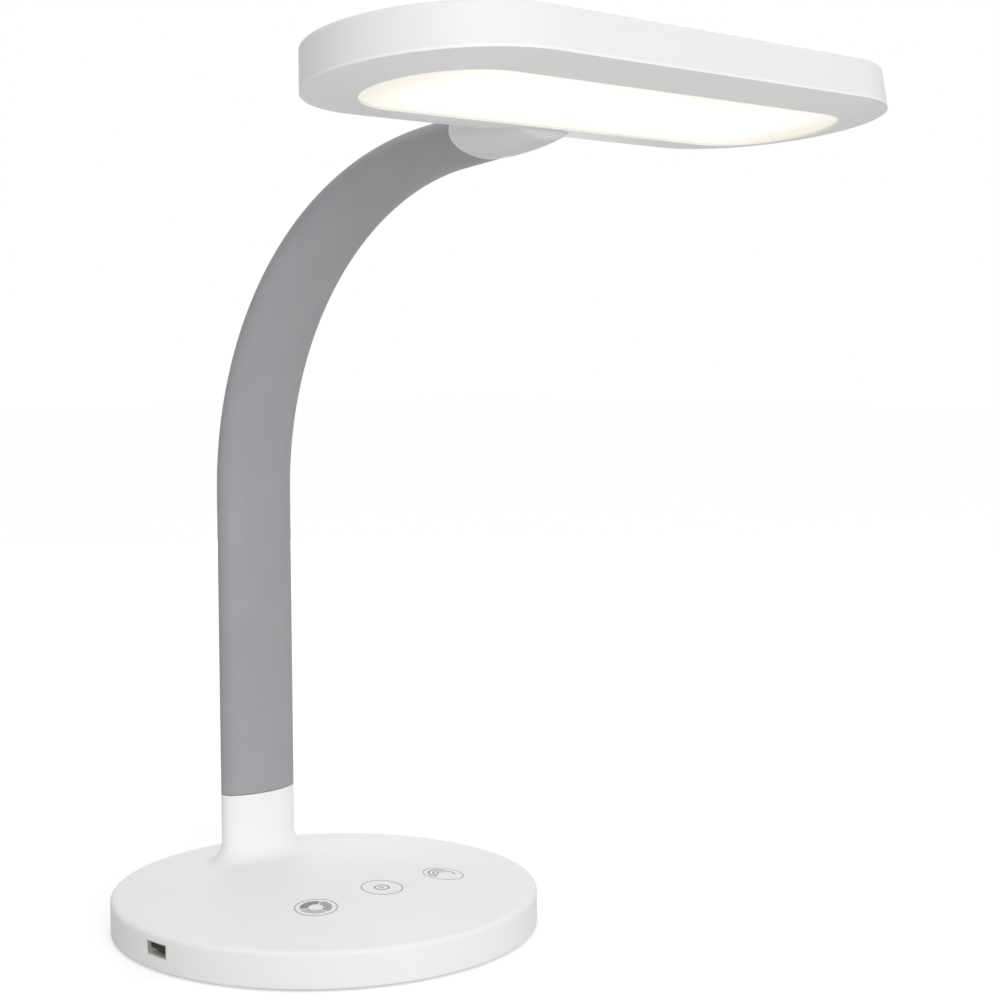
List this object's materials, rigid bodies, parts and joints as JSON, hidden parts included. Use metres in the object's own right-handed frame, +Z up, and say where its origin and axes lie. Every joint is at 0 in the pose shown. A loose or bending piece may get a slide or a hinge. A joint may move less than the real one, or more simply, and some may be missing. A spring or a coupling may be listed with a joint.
{
  "type": "light therapy desk lamp",
  "caption": "Desk light therapy lamp: round weighted touch base, flat oval gooseneck in a grey sleeve, and a long round-ended white head with an opal light window.",
  "frame": {"origin": "middle of the round base on the desk, under the foot pad", "axes": "+Z up, -Y towards the user (the head reaches that way), +X to the user's right"},
  "size_m": [0.2742, 0.32, 0.3684],
  "materials": {
    "white_abs": "fine satin moulded ABS",
    "white_base_plastic": "matt moulded ABS",
    "grey_silicone": "soft-touch silicone",
    "opal_acrylic": "opal acrylic, lit from inside",
    "clear_acrylic": "polished acrylic with a printed dot pattern",
    "white_film": "white reflector film",
    "ballast_steel": "zinc-plated steel",
    "spring_steel": "wound steel strip",
    "zinc_screws": "zinc-plated",
    "aluminium_sheet": "mill-finish sheet",
    "bar_board": "white solder mask on aluminium",
    "green_board": "solder-masked laminate",
    "led_phosphor": "phosphor over LED",
    "nickel_shell": "nickel plate",
    "black_plastic": "moulded black plastic",
    "pad_foam": "black non-slip foam rubber",
    "touch_foam": "conductive foam",
    "lead_jacket": "white PVC jacket"
  },
  "bodies": {
    "base": {"base_cover": "white_abs", "base_plate": "white_base_plastic", "foot_pad": "pad_foam", "ballast_plate": "ballast_steel", "base_screws": "zinc_screws", "neck_anchor": "ballast_steel", "anchor_screws": "zinc_screws", "control_board": "green_board", "board_screws": "zinc_screws", "touch_pads": "touch_foam", "usb_board": "green_board", "usb_shell": "nickel_shell", "usb_tongue": "black_plastic", "dc_jack": "black_plastic", "dc_jack_pin": "nickel_shell", "flex_tube_base": "spring_steel", "neck_sleeve": "grey_silicone", "neck_lead": "lead_jacket"},
    "neck_link_1": {"flex_tube_1": "spring_steel"},
    "neck_link_2": {"flex_tube_2": "spring_steel"},
    "neck_link_3": {"flex_tube_3": "spring_steel"},
    "neck_link_4": {"flex_tube_4": "spring_steel"},
    "neck_link_5": {"flex_tube_5": "spring_steel"},
    "neck_link_6": {"flex_tube_6": "spring_steel"},
    "neck_link_7": {"flex_tube_7": "spring_steel"},
    "head": {"flex_tube_head": "spring_steel", "neck_end_fitting": "ballast_steel", "head_collar": "white_abs", "head_housing": "white_abs", "head_bezel": "white_abs", "diffuser": "opal_acrylic", "light_guide": "clear_acrylic", "reflector_sheet": "white_film", "heat_spreader": "aluminium_sheet", "led_bar_front": "bar_board", "led_bar_rear": "bar_board", "led_chips": "led_phosphor", "spreader_screws": "zinc_screws", "tongue_screws": "zinc_screws"}
  },
  "joints": [
    {"name": "neck_lower_bend", "type": "hinge", "parent": "base", "child": "neck_link_1", "pos_m": [0, 0.0485, 0.09907], "axis": [1, 0, 0], "range_deg": [-8, 10], "deforming": ["neck_sleeve", "neck_lead"]},
    {"name": "neck_lower_bend_2", "type": "hinge", "parent": "neck_link_1", "child": "neck_link_2", "pos_m": [0, 0.0485, 0.14513], "axis": [1, 0, 0], "range_deg": [-8, 10], "deforming": ["neck_sleeve", "neck_lead"]},
    {"name": "neck_lower_bend_3", "type": "hinge", "parent": "neck_link_2", "child": "neck_link_3", "pos_m": [0, 0.0485, 0.1912], "axis": [1, 0, 0], "range_deg": [-8, 10], "deforming": ["neck_sleeve", "neck_lead"]},
    {"name": "neck_upper_bend", "type": "hinge", "parent": "neck_link_3", "child": "neck_link_4", "pos_m": [0, 0.04234, 0.23355], "axis": [1, 0, 0], "range_deg": [-16.5, 8], "deforming": ["neck_sleeve", "neck_lead"]},
    {"name": "neck_upper_bend_2", "type": "hinge", "parent": "neck_link_4", "child": "neck_link_5", "pos_m": [0, 0.02436, 0.27239], "axis": [1, 0, 0], "range_deg": [-16.5, 8], "deforming": ["neck_sleeve", "neck_lead"]},
    {"name": "neck_upper_bend_3", "type": "hinge", "parent": "neck_link_5", "child": "neck_link_6", "pos_m": [0, -0.00395, 0.3045], "axis": [1, 0, 0], "range_deg": [-16.5, 8], "deforming": ["neck_sleeve", "neck_lead"]},
    {"name": "neck_upper_bend_4", "type": "hinge", "parent": "neck_link_6", "child": "neck_link_7", "pos_m": [0, -0.04023, 0.3272], "axis": [1, 0, 0], "range_deg": [-16.5, 8], "deforming": ["neck_sleeve", "neck_lead"]},
    {"name": "neck_upper_bend_5", "type": "hinge", "parent": "neck_link_7", "child": "head", "pos_m": [0, -0.08148, 0.33863], "axis": [1, 0, 0], "range_deg": [-16.5, 8], "deforming": ["neck_sleeve", "neck_lead"]}
  ],
  "couplings": [
    {"joint": "neck_lower_bend_2", "follows": "neck_lower_bend", "ratio": 1},
    {"joint": "neck_lower_bend_3", "follows": "neck_lower_bend", "ratio": 1},
    {"joint": "neck_upper_bend_2", "follows": "neck_upper_bend", "ratio": 1},
    {"joint": "neck_upper_bend_3", "follows": "neck_upper_bend", "ratio": 1},
    {"joint": "neck_upper_bend_4", "follows": "neck_upper_bend", "ratio": 1},
    {"joint": "neck_upper_bend_5", "follows": "neck_upper_bend", "ratio": 1}
  ]
}
